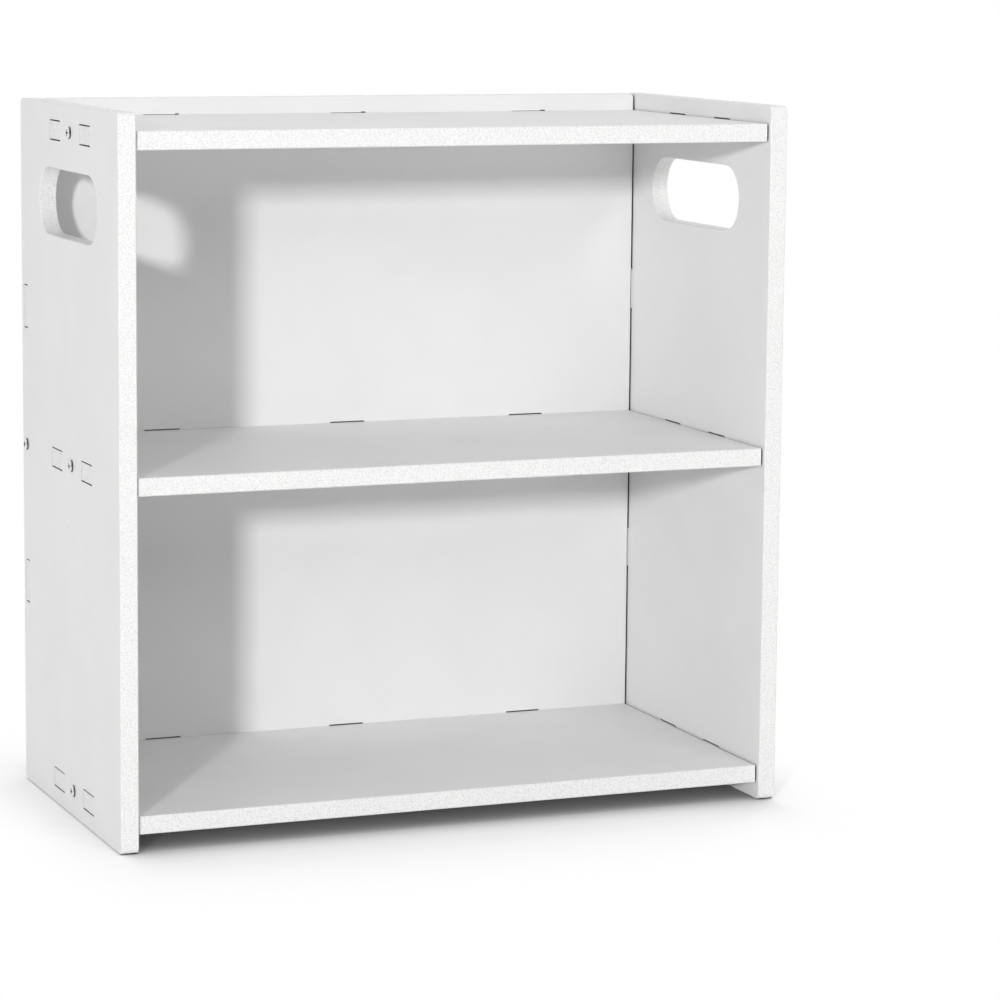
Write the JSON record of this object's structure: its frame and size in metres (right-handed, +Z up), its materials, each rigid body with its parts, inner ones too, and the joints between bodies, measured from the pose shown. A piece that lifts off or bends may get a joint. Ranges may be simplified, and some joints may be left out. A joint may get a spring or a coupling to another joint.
{
  "type": "cd rack",
  "caption": "White two-bay tabletop rack for CD cases: tabbed boards, closed back, hand hole in each side panel, stackable.",
  "frame": {"origin": "on the floor, in the middle of the rectangle that the two side panels' bottom edges stand on", "axes": "+X across the rack to the right as seen from its open front, +Y from the front to the back panel, +Z up"},
  "size_m": [0.3146, 0.158, 0.318],
  "materials": {
    "white_board": "smooth satin white faces, finely stippled cut edges",
    "zinc_screw": "bright zinc plated"
  },
  "bodies": {
    "root": {"left_side_panel": "white_board", "right_side_panel": "white_board", "back_panel": "white_board", "bottom_shelf": "white_board", "middle_shelf": "white_board", "top_shelf": "white_board", "bottom_shelf_screws": "zinc_screw", "middle_shelf_screws": "zinc_screw", "top_shelf_screws": "zinc_screw", "back_panel_screws": "zinc_screw"}
  },
  "joints": []
}
